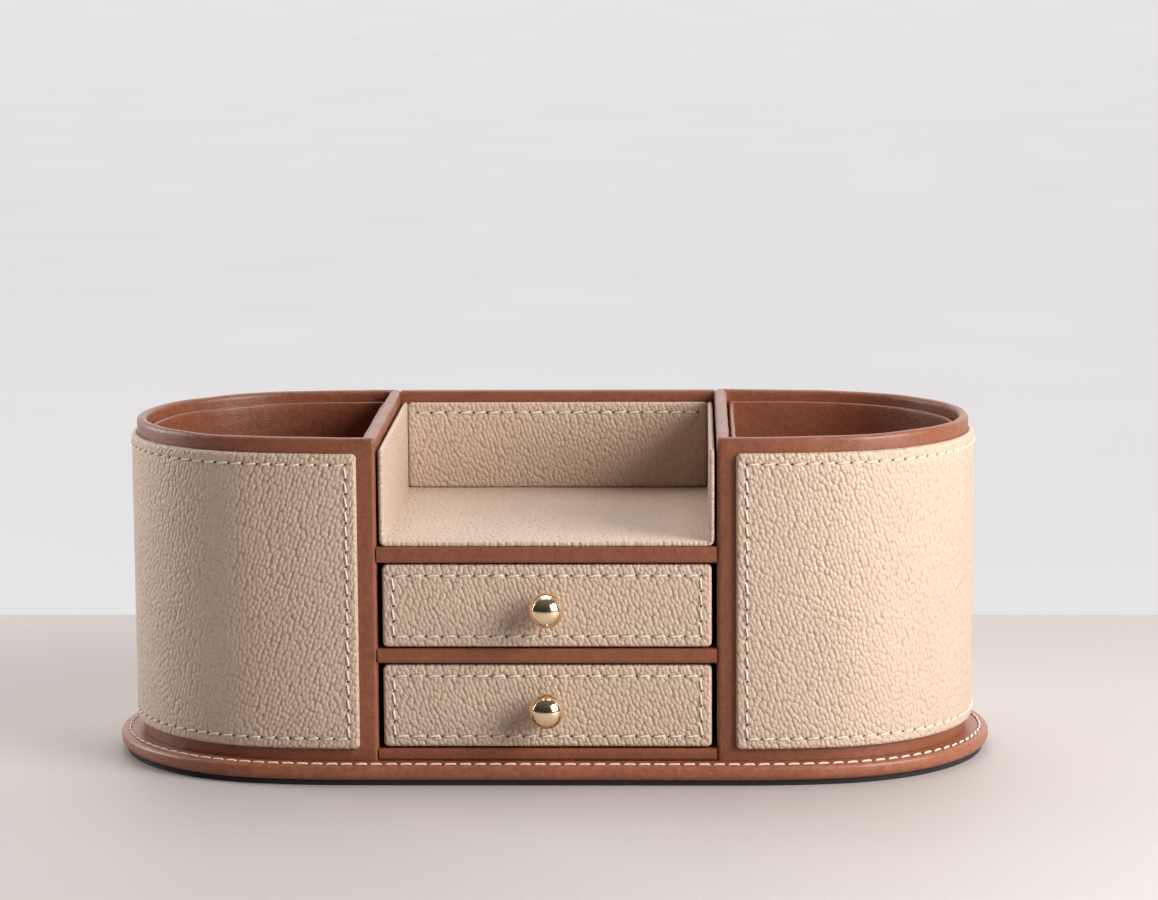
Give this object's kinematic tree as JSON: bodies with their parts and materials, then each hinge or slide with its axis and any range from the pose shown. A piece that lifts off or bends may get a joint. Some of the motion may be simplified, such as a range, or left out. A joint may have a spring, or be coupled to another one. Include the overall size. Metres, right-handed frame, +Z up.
{
  "type": "desk organizer",
  "caption": "Round-ended leather desk organizer: open pen cups at both ends, a paper tray between them and sliding drawers below it, on a base with a non-slip pad.",
  "frame": {"origin": "on the underside of the non-slip pad, at the middle of the base's plan", "axes": "+X to the right along the length, +Y from the drawer fronts to the back, +Z up"},
  "size_m": [0.33, 0.1534, 0.1269],
  "materials": {
    "brown_leatherette": "smooth saddle-brown leatherette, semi-gloss",
    "beige_leather": "pebbled beige leather, soft sheen",
    "board": "grey board, covered",
    "drawer_wrap": "smooth brown leatherette over thin board",
    "felt": "short beige felt",
    "brass": "polished pale gold",
    "steel": "zinc-plated steel",
    "pad": "black foam rubber"
  },
  "bodies": {
    "carcass": {"non_slip_pad": "pad", "base_board": "board", "base_cover": "brown_leatherette", "back_wall": "brown_leatherette", "bottom_shelf": "brown_leatherette", "middle_shelf": "brown_leatherette", "tray_shelf": "brown_leatherette", "tray_liner": "beige_leather", "tray_back_liner": "beige_leather", "left_cup_shell": "brown_leatherette", "left_cup_floor": "brown_leatherette", "left_cup_liner": "brown_leatherette", "left_wrap_panel_board": "board", "left_wrap_panel_leather": "beige_leather", "right_cup_shell": "brown_leatherette", "right_cup_floor": "brown_leatherette", "right_cup_liner": "brown_leatherette", "right_wrap_panel_board": "board", "right_wrap_panel_leather": "beige_leather"},
    "lower_drawer": {"lower_drawer_front_board": "board", "lower_drawer_front_leather": "beige_leather", "lower_drawer_floor": "drawer_wrap", "lower_drawer_left_side": "drawer_wrap", "lower_drawer_right_side": "drawer_wrap", "lower_drawer_back": "drawer_wrap", "lower_drawer_felt_lining": "felt", "lower_drawer_knob": "brass", "lower_drawer_knob_screw": "steel"},
    "upper_drawer": {"upper_drawer_front_board": "board", "upper_drawer_front_leather": "beige_leather", "upper_drawer_floor": "drawer_wrap", "upper_drawer_left_side": "drawer_wrap", "upper_drawer_right_side": "drawer_wrap", "upper_drawer_back": "drawer_wrap", "upper_drawer_felt_lining": "felt", "upper_drawer_knob": "brass", "upper_drawer_knob_screw": "steel"}
  },
  "joints": [
    {"name": "lower_drawer_slide", "type": "slide", "parent": "carcass", "child": "lower_drawer", "axis": [0, -1, 0], "range_m": [0, 0.09]},
    {"name": "upper_drawer_slide", "type": "slide", "parent": "carcass", "child": "upper_drawer", "axis": [0, -1, 0], "range_m": [0, 0.09]}
  ]
}
